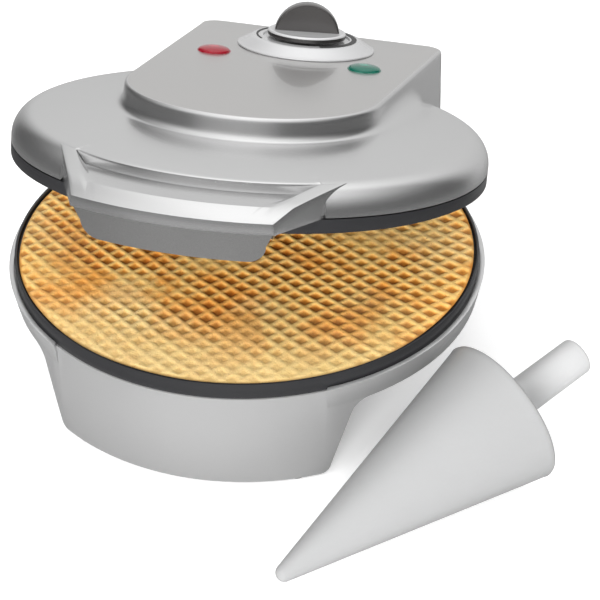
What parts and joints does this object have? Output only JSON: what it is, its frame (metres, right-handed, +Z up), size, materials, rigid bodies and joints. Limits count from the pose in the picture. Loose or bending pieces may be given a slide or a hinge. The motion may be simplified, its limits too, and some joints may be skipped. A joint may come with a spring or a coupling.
{
  "type": "waffle cone maker",
  "caption": "Round electric waffle cone maker with a hinged domed lid, front handle, thermostat dial, lamps, baked wafer and a loose cone former.",
  "frame": {"origin": "on the table, under the axis of the round baking plates", "axes": "+Z up, -Y to the front where the handle is, +X to the right seen from the front; the hinge is at +Y"},
  "size_m": [0.292, 0.3214, 0.1517],
  "materials": {
    "silver_shell": "silver metallic paint on moulded plastic, satin gloss",
    "silver_apron": "fine sparkled silver paint",
    "dark_cover": "fine moulded grain",
    "rubber": "matt",
    "screw_steel": "zinc plated",
    "plate_coating": "dark non-stick coating on cast aluminium",
    "heater_sheath": "heat-stained tube",
    "reflector_sheet": "bright rolled sheet",
    "ceramic": "off-white",
    "bezel_silver": "light silver, satin gloss",
    "scale_print": "black print",
    "brass": "plain",
    "red_lens": "translucent red, glossy",
    "green_lens": "translucent green, glossy",
    "knob_silver": "silver paint",
    "wafer": "baked golden crust with toasted patches",
    "white_plastic": "white, slightly translucent, fine satin"
  },
  "bodies": {
    "base": {"base_shell": "silver_shell", "base_bottom_cover": "dark_cover", "housing_cover": "dark_cover", "rubber_feet": "rubber", "cover_screws": "screw_steel", "lower_plate": "plate_coating", "lower_heating_element": "heater_sheath", "lower_reflector": "reflector_sheet", "lower_plate_screws": "screw_steel", "thermal_fuse": "ceramic", "terminal_block": "ceramic", "cord_gland": "rubber", "hinge_pins": "screw_steel"},
    "lid": {"lid_shell": "silver_shell", "handle_upper": "silver_shell", "handle_lower": "silver_apron", "handle_screws": "screw_steel", "upper_plate": "plate_coating", "upper_heating_element": "heater_sheath", "upper_reflector": "reflector_sheet", "reflector_screws": "screw_steel", "upper_plate_screws": "screw_steel", "lid_rear_cover": "dark_cover", "hinge_arms": "dark_cover", "hinge_arm_screws": "screw_steel", "dial_bezel": "bezel_silver", "dial_scale": "scale_print", "thermostat": "ceramic", "thermostat_nut": "brass", "red_lamp_lens": "red_lens", "green_lamp_lens": "green_lens", "lamp_bulbs": "ceramic"},
    "knob": {"control_knob": "knob_silver", "thermostat_shaft": "screw_steel"},
    "wafer": {"wafer": "wafer"},
    "cone_former": {"cone_former": "white_plastic", "cone_handle": "white_plastic"}
  },
  "joints": [
    {"name": "lid_hinge", "type": "hinge", "parent": "base", "child": "lid", "pos_m": [0, 0.1408, 0.0539], "axis": [-1, 0, 0], "range_deg": [-16.8, 80]},
    {"name": "dial_turn", "type": "hinge", "parent": "lid", "child": "knob", "pos_m": [0, 0.11377, 0.10552], "axis": [0, -0.289, -0.9573], "range_deg": [-40, 240]},
    {"name": "wafer_lift", "type": "slide", "parent": "base", "child": "wafer", "axis": [0, 0, 1], "range_m": [0, 0.0006]},
    {"name": "cone_lift", "type": "slide", "parent": "base", "child": "cone_former", "axis": [0, 0, 1], "range_m": [0, 0.1]}
  ]
}
